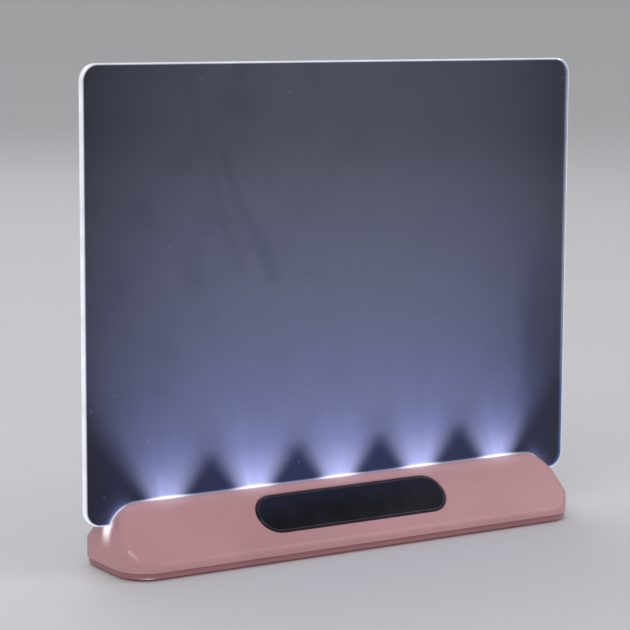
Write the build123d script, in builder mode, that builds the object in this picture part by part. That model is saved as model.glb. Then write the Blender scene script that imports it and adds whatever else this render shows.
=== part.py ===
from build123d import *
from math import cos, radians, sin, tan
import os

# A clear drawing panel stands in the slot of a battery-lit plastic base.
# X runs along the base, Y from its front to its back, Z up. The origin is on the
# ground under the middle of the base, and the panel's middle plane is at Y = 0.

os.makedirs("parts", exist_ok=True)

# Drawing panel
panel_overhang = 7.5
panel_height = 173.0
panel_thickness = 3.0
panel_corner = 6.5
panel_edge_break = 0.25

# Base outline: upright sides, a slope to each side of the ridge, drafted ends. The row of
# cells inside sets how long, deep and high it is.
base_corner = 13.0
slope_angle = 45.0
ridge_width = 6.0
ridge_corner = 12.0
slope_edge_radius = 3.5
end_draft = 8.0
side_wall = 2.0
end_wall = 3.0
cell_clearance = 0.56
bay_end_room = 17.5
ear_end_room = 43.3

# Panel slot in the ridge
slot_depth = 7.8
slot_clearance = 0.15
slot_wall = 1.65
slot_floor_thickness = 1.8
slot_lip_break = 0.3

# Bottom cover, its locating tongue and the feet
foot_stand = 1.0
cover_thickness = 2.4
cover_inset = 0.6
cover_edge_break = 0.5
tongue_height = 1.6
tongue_thickness = 1.2
tongue_clearance = 0.15
tongue_gap = 3.05
foot_radius = 4.5
foot_recess = 0.6
foot_clearance = 0.1
foot_edge_break = 0.3

# Case screws: one under each foot and two along the front
corner_screw_end = 9.5
corner_screw_side = 11.0
front_screw_end = 60.0
front_screw_side = 10.0
screw_radius = 1.1
screw_head_radius = 2.3
screw_head_height = 1.6
screw_length = 9.0
screw_clearance = 0.05
screw_tip_clearance = 0.5
cover_hole_clearance = 0.4
head_clearance = 0.3
post_radius = 3.75
post_height = 2.2
boss_radius = 3.0
head_seat = 1.8
driver_recess = 0.6
driver_width = 0.7

# Light row under the slot
led_count = 5
led_end_room = 26.8
led_radius = 1.5
led_rim_radius = 1.9
led_rim_height = 1.0
led_height = 5.3
led_sink = 0.2
led_hole_clearance = 0.15
led_leg_width = 0.5
led_leg_spacing = 2.54
led_leg_length = 2.2
leg_hole_clearance = 0.1
collar_wall = 0.9
collar_gap = 0.4
board_thickness = 1.2
led_board_end_room = 13.0
led_board_width = 6.0
led_board_corner = 0.8
light_boss_radius = 2.4
light_screw_radius = 0.9
light_head_radius = 1.8
light_head_height = 1.2
light_screw_length = 4.2
resistor_length = 3.2
resistor_width = 1.6
resistor_height = 0.6
resistor_offset = 6.5

# Batteries, end to end behind the light row
battery_count = 3
battery_radius = 5.25
battery_length = 44.5
battery_nub_radius = 1.9
battery_nub_height = 1.2
battery_edge_break = 0.4
door_gap = 0.3
bay_clearance = 0.25
bay_wall = 1.1
board_side_gap = 0.4
inner_bay_height = 6.8
outer_bay_height = 5.0
spring_length = 3.6
spring_radius = 2.9
spring_wire_radius = 0.25
spring_wire_sides = 6
spring_turns = 3.0
contact_thickness = 0.4
contact_width = 8.6
contact_height = 6.0
contact_drop = 2.75
contact_tab_width = 3.0
contact_tab_height = 1.6
contact_slot_clearance = 0.05
contact_rail_thickness = 0.8
contact_rail_lap = 0.5
contact_dimple_radius = 1.5
contact_dimple_height = 0.3

# Battery door in the bottom cover
door_thickness = 1.4
door_rebate = 1.5
door_ledge = 1.0
door_clearance = 0.15
door_hinge_gap = 0.35
door_ear_length = 11.0
door_corner = 2.0
door_rib_height = 1.2
door_rib_width = 1.0
door_rib_inset = 1.3
tab_width = 2.2
tab_thickness = 0.9
tab_reach = 1.5
tab_rise_gap = 0.15
tab_notch_clearance = 0.4
grip_count = 3
grip_pitch = 1.6
grip_width = 0.7
grip_depth = 0.4
grip_length = 7.0
door_screw_head_radius = 2.2
door_screw_length = 6.6
door_screw_clearance = 0.3
door_boss_radius = 3.0
door_boss_height = 6.0

# Power button on the back slope, and the switch behind it
button_end = 29.0
button_drop = 2.3
button_radius = 5.0
button_clearance = 0.25
button_proud = 1.3
button_crown = 0.5
button_flange_radius = 6.2
button_flange_thickness = 1.0
button_flange_gap = 0.1
button_dish_radius = 7.5
button_dish_depth = 0.6
button_travel = 0.5
switch_size = 6.0
switch_height = 3.5
switch_edge_break = 0.3
plunger_radius = 1.7
plunger_rise = 0.8
plunger_root = 0.3
plunger_clearance = 0.1
switch_board_length = 26.0
switch_board_width = 12.0
switch_screw_end = 3.0
switch_boss_radius = 2.1
chip_length = 5.0
chip_width = 4.0
chip_height = 1.5
chip_edge_break = 0.2
chip_leg_count = 4
chip_leg_pitch = 1.27
chip_leg_width = 0.4
chip_leg_reach = 0.9
chip_leg_thickness = 0.3

# Badge on the front slope
badge_length = 88.0
badge_upper_margin = 3.9
badge_lower_margin = 7.3
badge_thickness = 0.8
badge_recess = 1.0
badge_clearance = 0.3
badge_edge_break = 0.2
badge_mouth_break = 0.35

# Stiffening ribs across the front half of the base
rib_thickness = 1.2
rib_foot = 8.5
rib_count = 6

# Inside wiring
wire_radius = 0.6
wire_sides = 8
wire_bend = 8.0
wire_run_offset = 3.0
wire_turn = 4.0
wire_rise_offset = 3.3
lead_drop = 5.0
light_pad_end = 2.5
light_pad_pitch = 2.5
light_pad_side = 1.3
clip_length = 3.0
clip_wall = 1.2
clip_grip = 0.1
clip_spacing = 60.0

# How far a cut runs past the face it opens
overrun = 1.0


# The bay is as long as its row of cells, and the base adds the room at both ends
bay_half = battery_radius + bay_clearance
battery_row = battery_count * battery_length
bay_length = battery_row + spring_length + contact_dimple_height + 2 * contact_thickness
base_length = bay_end_room + bay_length + door_ear_length + ear_end_room
panel_width = base_length + 2 * panel_overhang
bay_left = bay_end_room - base_length / 2
bay_right = bay_left + bay_length
bay_middle = (bay_left + bay_right) / 2
battery_left = bay_left + contact_thickness + spring_length

# The row lies beside the light board, and the base's sides and slopes clear it
battery_y = led_board_width / 2 + board_side_gap + bay_wall + bay_half
battery_z = foot_stand + door_thickness + door_gap + battery_radius
tongue_face = battery_y + bay_half + bay_wall + tongue_gap + tongue_thickness
base_depth = 2 * (tongue_face + tongue_clearance + side_wall)
slope_rise = sin(radians(slope_angle))
slope_run = cos(radians(slope_angle))
slope_reach = battery_y * slope_rise + battery_z * slope_run + battery_radius + cell_clearance + side_wall
base_height = (slope_reach - ridge_width / 2 * slope_rise) / slope_run
shoulder_height = (slope_reach - base_depth / 2 * slope_rise) / slope_run
slope_length = (base_depth - ridge_width) / 2 / slope_run

# Heights and places that follow from the base
cover_top = foot_stand + cover_thickness
end_slant = tan(radians(end_draft))
slot_width = panel_thickness + 2 * slot_clearance
slot_floor = base_height - slot_depth
channel_half = slot_width / 2 + slot_wall
channel_bottom = slot_floor - slot_floor_thickness
led_top = slot_floor - led_sink
led_board_top = led_top - led_height
led_board_bottom = led_board_top - board_thickness
led_pitch = (base_length - 2 * led_end_room) / (led_count - 1)
led_board_length = base_length - 2 * led_board_end_room
led_places = [(number - (led_count - 1) / 2) * led_pitch for number in range(led_count)]
light_screw_places = [-(led_count / 2 - 1) * led_pitch, (led_count / 2 - 1) * led_pitch]
corner_screw_x = base_length / 2 - corner_screw_end
corner_screw_y = base_depth / 2 - corner_screw_side
front_screw_x = base_length / 2 - front_screw_end
front_screw_y = base_depth / 2 - front_screw_side
corner_sides = (-corner_screw_y, corner_screw_y)
corner_screws = [(x, y) for x in (-corner_screw_x, corner_screw_x) for y in corner_sides]
case_screw_places = corner_screws + [(-front_screw_x, -front_screw_y), (front_screw_x, -front_screw_y)]
post_top = cover_top + post_height
head_top = post_top - head_seat
slope_middle_y = (base_depth + ridge_width) / 4
slope_middle_z = (base_height + shoulder_height) / 2


def slope_plane(side, rise, x):
    """The plane on a slope's outside: side -1 is the front, rise runs up the slope."""
    y = side * (slope_middle_y - rise * slope_run)
    z = slope_middle_z + rise * slope_rise
    return Plane(origin=(x, y, z), x_dir=(1, 0, 0), z_dir=(0, side * slope_rise, slope_run))


def housing_block(side_inset, end_inset):
    """The base's outer form, or the same form drawn in by the walls."""
    half_depth = base_depth / 2
    half_ridge = ridge_width / 2
    foot_half = base_length / 2
    top_half = foot_half - (base_height - cover_top) * end_slant
    low = cover_top - overrun - side_inset
    with BuildPart() as block:
        with BuildSketch(Plane.YZ.offset(-foot_half)):
            with BuildLine():
                Polyline(
                    (-half_depth, low),
                    (-half_depth, shoulder_height),
                    (-half_ridge, base_height),
                    (half_ridge, base_height),
                    (half_depth, shoulder_height),
                    (half_depth, low),
                    close=True,
                )
            make_face()
            if side_inset > 0:
                offset(amount=-side_inset, kind=Kind.INTERSECTION)
        extrude(amount=base_length)
        with BuildSketch(Plane.XZ.offset(-half_depth)) as elevation:
            with BuildLine():
                Polyline(
                    (-foot_half + end_inset, cover_top),
                    (-top_half + end_inset, base_height),
                    (top_half - end_inset, base_height),
                    (foot_half - end_inset, cover_top),
                    close=True,
                )
            make_face()
            fillet(elevation.vertices().group_by(Axis.Y)[-1], ridge_corner)
        extrude(amount=base_depth, mode=Mode.INTERSECT)
        plan_length = base_length - 2 * end_inset
        plan_depth = base_depth - 2 * side_inset
        with BuildSketch(Plane.XY.offset(cover_top)):
            RectangleRounded(plan_length, plan_depth, base_corner - side_inset)
        extrude(amount=base_height, mode=Mode.INTERSECT)
    return block.part


def pan_screw(plane, shank_radius, head_radius, head_height, length):
    """A pan-head screw whose head sits under the plane and whose shank runs along its normal."""
    with BuildPart() as screw:
        with BuildSketch(plane.offset(-head_height)):
            Circle(head_radius)
        extrude(amount=head_height)
        rim = screw.faces().sort_by(Axis(plane.origin, plane.z_dir))[0]
        chamfer(rim.edges(), head_height / 4)
        with BuildSketch(plane):
            Circle(shank_radius)
        extrude(amount=length)
        with BuildSketch(plane.offset(-head_height)):
            Rectangle(head_radius, driver_width)
            Rectangle(driver_width, head_radius)
        extrude(amount=driver_recess, mode=Mode.SUBTRACT)
    return screw.part


# The clear panel: a cut acrylic sheet with rounded corners and broken edges
with BuildPart() as drawing_panel:
    with BuildSketch(Plane.XZ.offset(-panel_thickness / 2)):
        with Locations((0, slot_floor + panel_height / 2)):
            RectangleRounded(panel_width, panel_height, panel_corner)
    extrude(amount=panel_thickness)
    panel_faces = drawing_panel.faces().filter_by(Axis.Y)
    chamfer(panel_faces.edges(), panel_edge_break)
drawing_panel.part.label = "drawing_panel"
export_step(drawing_panel.part, "parts/drawing_panel.step")


# The hollow of the base, which leaves the slot's channel standing
with BuildPart() as cavity:
    add(housing_block(side_wall, end_wall))
    with BuildSketch(Plane.XY.offset(channel_bottom)):
        Rectangle(base_length, 2 * channel_half)
    extrude(amount=base_height, mode=Mode.SUBTRACT)

button_plane = slope_plane(1, -button_drop, base_length / 2 - button_end)
flange_depth = side_wall + button_flange_gap
switch_face = flange_depth + button_flange_thickness + plunger_rise
switch_board_face = switch_face + switch_height
switch_screw_x = switch_board_length / 2 - switch_screw_end
switch_screw_places = [(-switch_screw_x, 0), (switch_screw_x, 0)]
rib_spacing = base_length / (rib_count + 1)
rib_places = [(number - (rib_count - 1) / 2) * rib_spacing for number in range(rib_count)]

# Bosses and ribs inside the base, trimmed to its form
with BuildPart() as inner_work:
    with BuildSketch(Plane.XY.offset(post_top)):
        with Locations(*case_screw_places):
            Circle(boss_radius)
    extrude(amount=base_height)
    with BuildSketch(Plane.XY.offset(rib_foot)):
        with Locations(*[(x, -(base_depth / 2 + channel_half) / 2) for x in rib_places]):
            Rectangle(rib_thickness, base_depth / 2 - channel_half)
    extrude(amount=base_height)
    with BuildSketch(button_plane.offset(-switch_board_face)):
        with Locations(*switch_screw_places):
            Circle(switch_boss_radius)
    extrude(amount=switch_board_face)
    add(housing_block(side_wall / 2, end_wall / 2), mode=Mode.INTERSECT)

badge_width = slope_length - badge_upper_margin - badge_lower_margin
badge_plane = slope_plane(-1, (badge_lower_margin - badge_upper_margin) / 2, 0)
collar_bottom = led_board_top + led_rim_height + collar_gap

# The upper housing: one moulding with the panel slot, light holes, bosses and ribs
with BuildPart() as base_shell:
    add(housing_block(0, 0))
    slopes = base_shell.faces().filter_by(GeomType.PLANE).filter_by(
        lambda face: abs(face.normal_at().Y) > slope_rise / 2 and abs(face.normal_at().Z) > slope_run / 2
    )
    fillet(slopes.edges(), slope_edge_radius)
    add(cavity.part, mode=Mode.SUBTRACT)
    add(inner_work.part)
    with BuildSketch(Plane.XY.offset(collar_bottom)):
        with Locations(*[(x, 0) for x in led_places]):
            Circle(led_rim_radius + led_hole_clearance + collar_wall)
    extrude(amount=channel_bottom - collar_bottom)
    with BuildSketch(Plane.XY.offset(led_board_top)):
        with Locations(*[(x, 0) for x in light_screw_places]):
            Circle(light_boss_radius)
    extrude(amount=channel_bottom - led_board_top)
    with BuildSketch(Plane.XY.offset(slot_floor)):
        Rectangle(base_length + 2 * overrun, slot_width)
    extrude(amount=slot_depth + overrun, mode=Mode.SUBTRACT)
    slot_lips = base_shell.edges(Select.LAST).filter_by(Axis.X).group_by(Axis.Z)[-1]
    chamfer(slot_lips, slot_lip_break)
    with BuildSketch(Plane.XY.offset(collar_bottom)):
        with Locations(*[(x, 0) for x in led_places]):
            Circle(led_radius + led_hole_clearance)
    extrude(amount=slot_floor + overrun - collar_bottom, mode=Mode.SUBTRACT)
    with BuildSketch(Plane.XY.offset(post_top)):
        with Locations(*case_screw_places):
            Circle(screw_radius + screw_clearance)
    extrude(amount=screw_length - head_seat + screw_tip_clearance, mode=Mode.SUBTRACT)
    with BuildSketch(Plane.XY.offset(led_board_top)):
        with Locations(*[(x, 0) for x in light_screw_places]):
            Circle(light_screw_radius + screw_clearance)
    extrude(amount=light_screw_length - board_thickness + screw_tip_clearance, mode=Mode.SUBTRACT)
    with BuildSketch(button_plane.offset(-switch_board_face)):
        with Locations(*switch_screw_places):
            Circle(light_screw_radius + screw_clearance)
    extrude(amount=light_screw_length - board_thickness + screw_tip_clearance, mode=Mode.SUBTRACT)
    with BuildSketch(button_plane.offset(-button_dish_depth)):
        Circle(button_dish_radius)
    extrude(amount=button_dish_depth + overrun, mode=Mode.SUBTRACT)
    with BuildSketch(button_plane.offset(-side_wall - button_flange_gap)):
        Circle(button_radius + button_clearance)
    extrude(amount=side_wall + overrun, mode=Mode.SUBTRACT)
    with BuildSketch(badge_plane.offset(-badge_recess)):
        SlotOverall(badge_length + 2 * badge_clearance, badge_width + 2 * badge_clearance)
    extrude(amount=badge_recess + overrun, mode=Mode.SUBTRACT)
    badge_axis = Axis(badge_plane.origin, badge_plane.z_dir)
    badge_mouth = base_shell.edges(Select.LAST).group_by(badge_axis)[-1]
    chamfer(badge_mouth, badge_mouth_break)
base_shell.part.label = "base_shell"
export_step(base_shell.part, "parts/base_shell.step")


# The badge: a thin glossy plate let into the front slope
with BuildPart() as badge_plate:
    with BuildSketch(badge_plane.offset(-badge_recess)):
        SlotOverall(badge_length, badge_width)
    extrude(amount=badge_thickness)
    chamfer(badge_plate.faces().sort_by(badge_axis)[-1].edges(), badge_edge_break)
badge_plate.part.label = "badge_plate"
export_step(badge_plate.part, "parts/badge_plate.step")


# The battery bay stands on the bottom cover, around the door's opening
ledge_half = bay_half + door_ledge
door_screw_x = bay_right + bay_wall + door_boss_radius + wire_radius
ear_end = bay_right + door_ear_length
tab_places = [battery_y - bay_half / 2 - tab_width / 2, battery_y + bay_half / 2 + tab_width / 2]
tab_bottom = cover_top + tab_rise_gap
tab_top = tab_bottom + tab_thickness
rail_offset = contact_thickness + contact_slot_clearance + contact_rail_thickness / 2
rail_reach = bay_half - contact_width / 2 + contact_rail_lap
rail_bottom = tab_top + tab_notch_clearance
rail_places = [
    (x, battery_y + side * (bay_half - rail_reach / 2))
    for x in (bay_left + rail_offset, bay_right - rail_offset)
    for side in (-1, 1)
]

cover_length = base_length - 2 * cover_inset
cover_depth = base_depth - 2 * cover_inset
tongue_end_inset = end_wall + tongue_clearance + tongue_height * end_slant
tongue_length = base_length - 2 * tongue_end_inset
tongue_depth = base_depth - 2 * (side_wall + tongue_clearance)
tongue_corner = base_corner - side_wall - tongue_clearance
wire_y = -(channel_half + wire_run_offset)
wire_z = cover_top + clip_wall / 2 + wire_radius
clip_places = [(-clip_spacing / 2, wire_y), (clip_spacing / 2, wire_y)]
clip_width = 2 * (wire_radius + clip_grip + clip_wall)

# The bottom cover: a flat moulding with tongue, screw posts, battery bay and wire clips
with BuildPart() as bottom_cover:
    with BuildSketch(Plane.XY.offset(foot_stand)):
        RectangleRounded(cover_length, cover_depth, base_corner - cover_inset)
    extrude(amount=cover_thickness)
    chamfer(bottom_cover.faces().sort_by(Axis.Z)[0].edges(), cover_edge_break)
    with BuildSketch(Plane.XY.offset(cover_top)):
        RectangleRounded(tongue_length, tongue_depth, tongue_corner)
        RectangleRounded(
            tongue_length - 2 * tongue_thickness,
            tongue_depth - 2 * tongue_thickness,
            tongue_corner - tongue_thickness,
            mode=Mode.SUBTRACT,
        )
    extrude(amount=tongue_height)
    with BuildSketch(Plane.XY.offset(cover_top)):
        with Locations(*case_screw_places):
            Circle(post_radius)
    extrude(amount=post_height)
    with BuildSketch(Plane.XY.offset(cover_top)):
        with Locations((door_screw_x, battery_y)):
            Circle(door_boss_radius)
    extrude(amount=door_boss_height)
    with BuildSketch(Plane.XY.offset(cover_top)):
        with Locations((bay_middle, battery_y - bay_half - bay_wall / 2)):
            Rectangle(bay_length + 2 * bay_wall, bay_wall)
    extrude(amount=inner_bay_height)
    with BuildSketch(Plane.XY.offset(cover_top)):
        with Locations((bay_middle, battery_y + bay_half + bay_wall / 2)):
            Rectangle(bay_length + 2 * bay_wall, bay_wall)
        with Locations((bay_left - bay_wall / 2, battery_y), (bay_right + bay_wall / 2, battery_y)):
            Rectangle(bay_wall, 2 * bay_half + 2 * bay_wall)
    extrude(amount=outer_bay_height)
    with BuildSketch(Plane.XY.offset(cover_top)):
        with Locations(*clip_places):
            Rectangle(clip_length, clip_width)
    extrude(amount=wire_z + wire_radius - cover_top)
    with BuildSketch(Plane.XY.offset(wire_z - wire_radius - clip_grip)):
        with Locations(*clip_places):
            Rectangle(clip_length, 2 * (wire_radius + clip_grip))
    extrude(amount=2 * wire_radius + overrun, mode=Mode.SUBTRACT)
    with BuildSketch(Plane.XY.offset(foot_stand - overrun)):
        with Locations((bay_middle, battery_y)):
            Rectangle(bay_length, 2 * bay_half)
    extrude(amount=cover_thickness + 2 * overrun, mode=Mode.SUBTRACT)
    with BuildSketch(Plane.XY.offset(rail_bottom)):
        with Locations(*rail_places):
            Rectangle(contact_rail_thickness, rail_reach)
    extrude(amount=cover_top + outer_bay_height - rail_bottom)
    with BuildSketch(Plane.XY.offset(foot_stand - overrun)):
        with Locations(((bay_left + ear_end) / 2, battery_y)):
            Rectangle(ear_end - bay_left, 2 * ledge_half)
    extrude(amount=overrun + door_rebate, mode=Mode.SUBTRACT)
    with BuildSketch(Plane.XY.offset(foot_stand)):
        with Locations((door_screw_x, battery_y)):
            Circle(screw_radius + door_screw_clearance)
    extrude(amount=door_screw_length + overrun, mode=Mode.SUBTRACT)
    with BuildSketch(Plane.XY.offset(cover_top)):
        with Locations(*[(bay_left - bay_wall / 2, y) for y in tab_places]):
            Rectangle(bay_wall + overrun, tab_width + 2 * tab_notch_clearance)
    extrude(amount=tab_top - cover_top + tab_notch_clearance, mode=Mode.SUBTRACT)
    with BuildSketch(Plane.XY.offset(foot_stand)):
        with Locations(*corner_screws):
            Circle(foot_radius + foot_clearance)
    extrude(amount=foot_recess, mode=Mode.SUBTRACT)
    with BuildSketch(Plane.XY.offset(foot_stand)):
        with Locations(*case_screw_places):
            Circle(screw_head_radius + head_clearance)
    extrude(amount=head_top - foot_stand, mode=Mode.SUBTRACT)
    with BuildSketch(Plane.XY.offset(foot_stand)):
        with Locations(*case_screw_places):
            Circle(screw_radius + cover_hole_clearance)
    extrude(amount=post_top - foot_stand, mode=Mode.SUBTRACT)
bottom_cover.part.label = "bottom_cover"
export_step(bottom_cover.part, "parts/bottom_cover.step")


# The case screws, driven from below into the bosses of the upper housing
with BuildPart() as case_screws:
    for x, y in case_screw_places:
        seat = Plane((x, y, head_top))
        add(pan_screw(seat, screw_radius, screw_head_radius, screw_head_height, screw_length))
case_screws.part.label = "case_screws"
export_step(case_screws.part, "parts/case_screws.step")


# Four rubber feet pressed into round recesses over the corner screws
foot_names = ["foot_front_left", "foot_rear_left", "foot_front_right", "foot_rear_right"]
for foot_name, (x, y) in zip(foot_names, corner_screws):
    with BuildPart() as foot:
        with BuildSketch(Plane.XY):
            with Locations((x, y)):
                Circle(foot_radius)
        extrude(amount=foot_stand + foot_recess)
        chamfer(foot.faces().sort_by(Axis.Z)[0].edges(), foot_edge_break)
    foot.part.label = foot_name
    export_step(foot.part, f"parts/{foot_name}.step")


# The battery door: a plate with two hooked tabs at one end and a screw ear at the other
door_left = bay_left + door_hinge_gap
door_right = ear_end - door_clearance
door_half = ledge_half - door_clearance
rib_inset = bay_half - door_rib_inset
rib_start = door_left + tab_reach
rib_end = bay_right - door_clearance - tab_reach
with BuildPart() as battery_door:
    with BuildSketch(Plane.XY.offset(foot_stand)) as door_outline:
        with Locations(((door_left + door_right) / 2, battery_y)):
            Rectangle(door_right - door_left, 2 * door_half)
        fillet(door_outline.vertices().group_by(Axis.X)[-1], door_corner)
    extrude(amount=door_thickness)
    with BuildSketch(Plane.XY.offset(foot_stand + door_thickness)):
        with Locations(*[((rib_start + rib_end) / 2, battery_y + side * rib_inset) for side in (-1, 1)]):
            Rectangle(rib_end - rib_start, door_rib_width)
    extrude(amount=door_rib_height)
    with BuildSketch(Plane.XY.offset(foot_stand)):
        with Locations(*[(door_left + tab_thickness / 2, y) for y in tab_places]):
            Rectangle(tab_thickness, tab_width)
    extrude(amount=tab_top - foot_stand)
    tab_length = tab_reach + door_hinge_gap + tab_thickness
    tab_middle = bay_left + door_hinge_gap + tab_thickness - tab_length / 2
    with BuildSketch(Plane.XY.offset(tab_bottom)):
        with Locations(*[(tab_middle, y) for y in tab_places]):
            Rectangle(tab_length, tab_width)
    extrude(amount=tab_thickness)
    sink_radius = door_screw_head_radius + screw_clearance
    with Locations(Location((door_screw_x, battery_y, foot_stand), (180, 0, 0))):
        CounterSinkHole(screw_radius + screw_clearance, sink_radius, door_thickness + overrun)
    with BuildSketch(Plane.XY.offset(foot_stand)):
        for number in range(grip_count):
            with Locations((bay_right - (number + 1) * grip_pitch, battery_y)):
                SlotOverall(grip_length, grip_width, rotation=90)
    extrude(amount=grip_depth, mode=Mode.SUBTRACT)
battery_door.part.label = "battery_door"
export_step(battery_door.part, "parts/battery_door.step")


# The door's countersunk screw
with BuildPart() as battery_door_screw:
    with BuildSketch(Plane.XZ.offset(-battery_y)):
        with BuildLine():
            Polyline(
                (door_screw_x, foot_stand),
                (door_screw_x + door_screw_head_radius, foot_stand),
                (door_screw_x + screw_radius, foot_stand + door_screw_head_radius - screw_radius),
                (door_screw_x + screw_radius, foot_stand + door_screw_length - screw_radius / 2),
                (door_screw_x + screw_radius / 2, foot_stand + door_screw_length),
                (door_screw_x, foot_stand + door_screw_length),
                close=True,
            )
        make_face()
    revolve(axis=Axis((door_screw_x, battery_y, 0), (0, 0, 1)))
    with BuildSketch(Plane.XY.offset(foot_stand)):
        with Locations((door_screw_x, battery_y)):
            Rectangle(door_screw_head_radius, driver_width)
            Rectangle(driver_width, door_screw_head_radius)
    extrude(amount=driver_recess, mode=Mode.SUBTRACT)
battery_door_screw.part.label = "battery_door_screw"
export_step(battery_door_screw.part, "parts/battery_door_screw.step")


# Three dry cells in line, each with its raised end towards the right
for number in range(battery_count):
    start = battery_left + number * battery_length
    can_end = start + battery_length - battery_nub_height
    with BuildPart() as battery:
        with BuildSketch(Plane.XZ.offset(-battery_y)) as half_cell:
            with BuildLine():
                Polyline(
                    (start, battery_z),
                    (start, battery_z + battery_radius),
                    (can_end, battery_z + battery_radius),
                    (can_end, battery_z + battery_nub_radius),
                    (start + battery_length, battery_z + battery_nub_radius),
                    (start + battery_length, battery_z),
                    close=True,
                )
            make_face()
            chamfer(half_cell.vertices().group_by(Axis.Y)[-1], battery_edge_break)
        revolve(axis=Axis((0, battery_y, battery_z), (1, 0, 0)))
    battery.part.label = f"battery_{number + 1}"
    export_step(battery.part, f"parts/battery_{number + 1}.step")


# The coil spring that presses the row of cells together
spring_height = spring_length - 2 * spring_wire_radius
with BuildPart() as battery_spring:
    with BuildLine() as spring_line:
        Helix(
            pitch=spring_height / spring_turns,
            height=spring_height,
            radius=spring_radius,
            center=(battery_left - spring_length + spring_wire_radius, battery_y, battery_z),
            direction=(1, 0, 0),
        )
    with BuildSketch(Plane(origin=spring_line.line @ 0, z_dir=spring_line.line % 0)):
        RegularPolygon(spring_wire_radius, spring_wire_sides)
    sweep(path=spring_line.line, is_frenet=True)
battery_spring.part.label = "battery_spring"
export_step(battery_spring.part, "parts/battery_spring.step")


# The two contact plates, each held between rails at an end of the bay, with a solder tab
contact_bottom = battery_z - contact_drop
contact_top = contact_bottom + contact_height
contact_places = {"contact_negative": bay_left, "contact_positive": bay_right - contact_thickness}
for contact_name, contact_x in contact_places.items():
    with BuildPart() as contact:
        with BuildSketch(Plane.YZ.offset(contact_x)):
            with Locations((battery_y, (contact_bottom + contact_top) / 2)):
                Rectangle(contact_width, contact_top - contact_bottom)
            with Locations((battery_y, contact_top + contact_tab_height / 2)):
                Rectangle(contact_tab_width, contact_tab_height)
        extrude(amount=contact_thickness)
        if contact_name == "contact_positive":
            with BuildSketch(Plane.YZ.offset(contact_x - contact_dimple_height)):
                with Locations((battery_y, battery_z)):
                    Circle(contact_dimple_radius)
            extrude(amount=contact_dimple_height)
    contact.part.label = contact_name
    export_step(contact.part, f"parts/{contact_name}.step")


# The light board: a narrow strip screwed up under the slot's channel
leg_hole_width = led_leg_width + 2 * leg_hole_clearance
leg_places = [(x + side * led_leg_spacing / 2, 0) for x in led_places for side in (-1, 1)]
with BuildPart() as led_board:
    with BuildSketch(Plane.XY.offset(led_board_bottom)):
        RectangleRounded(led_board_length, led_board_width, led_board_corner)
        with Locations(*leg_places):
            Rectangle(leg_hole_width, leg_hole_width, mode=Mode.SUBTRACT)
        with Locations(*[(x, 0) for x in light_screw_places]):
            Circle(light_screw_radius + 2 * screw_clearance, mode=Mode.SUBTRACT)
    extrude(amount=board_thickness)
led_board.part.label = "led_board"
export_step(led_board.part, "parts/led_board.step")

with BuildPart() as led_resistors:
    with BuildSketch(Plane.XY.offset(led_board_top)):
        with Locations(*[(x + resistor_offset, 0) for x in led_places]):
            Rectangle(resistor_length, resistor_width)
    extrude(amount=resistor_height)
led_resistors.part.label = "led_resistors"
export_step(led_resistors.part, "parts/led_resistors.step")

with BuildPart() as light_screws:
    for x in light_screw_places:
        add(pan_screw(
            Plane((x, 0, led_board_bottom)),
            light_screw_radius, light_head_radius, light_head_height, light_screw_length,
        ))
light_screws.part.label = "light_screws"
export_step(light_screws.part, "parts/light_screws.step")


# Five round-topped lamps, whose tips stand just under the panel's edge
for number, x in enumerate(led_places, start=1):
    with BuildPart() as led:
        with BuildSketch(Plane.XZ):
            with BuildLine():
                Polyline(
                    (x, led_top - led_radius),
                    (x, led_board_top),
                    (x + led_rim_radius, led_board_top),
                    (x + led_rim_radius, led_board_top + led_rim_height),
                    (x + led_radius, led_board_top + led_rim_height),
                    (x + led_radius, led_top - led_radius),
                )
                CenterArc((x, led_top - led_radius), led_radius, 0, 90)
                Line((x, led_top), (x, led_top - led_radius))
            make_face()
        revolve(axis=Axis((x, 0, 0), (0, 0, 1)))
        with BuildSketch(Plane.XY.offset(led_board_top)):
            with Locations((x - led_leg_spacing / 2, 0), (x + led_leg_spacing / 2, 0)):
                Rectangle(led_leg_width, led_leg_width)
        extrude(amount=-led_leg_length)
    led.part.label = f"led_{number}"
    export_step(led.part, f"parts/led_{number}.step")


# The power button: a crowned cap, with a flange that keeps it behind the slope's wall
with BuildPart() as power_button:
    with BuildSketch(button_plane.offset(-flange_depth - button_flange_thickness)):
        Circle(button_flange_radius)
    extrude(amount=button_flange_thickness)
    with BuildSketch(button_plane.offset(-flange_depth)):
        Circle(button_radius)
    extrude(amount=flange_depth + button_proud)
    button_axis = Axis(button_plane.origin, button_plane.z_dir)
    fillet(power_button.faces().sort_by(button_axis)[-1].edges(), button_crown)
power_button.part.label = "power_button"
export_step(power_button.part, "parts/power_button.step")

with BuildPart() as switch_plunger:
    with BuildSketch(button_plane.offset(-switch_face - plunger_root)):
        Circle(plunger_radius)
    extrude(amount=plunger_root + plunger_rise)
switch_plunger.part.label = "switch_plunger"
export_step(switch_plunger.part, "parts/switch_plunger.step")

with BuildPart() as tact_switch:
    with BuildSketch(button_plane.offset(-switch_board_face)):
        Rectangle(switch_size, switch_size)
    extrude(amount=switch_height)
    chamfer(tact_switch.edges().filter_by(button_axis), switch_edge_break)
    with BuildSketch(button_plane.offset(-switch_face - plunger_root - button_travel - plunger_clearance)):
        Circle(plunger_radius + plunger_clearance)
    extrude(amount=plunger_root + button_travel + plunger_clearance + overrun, mode=Mode.SUBTRACT)
tact_switch.part.label = "tact_switch"
export_step(tact_switch.part, "parts/tact_switch.step")

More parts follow.
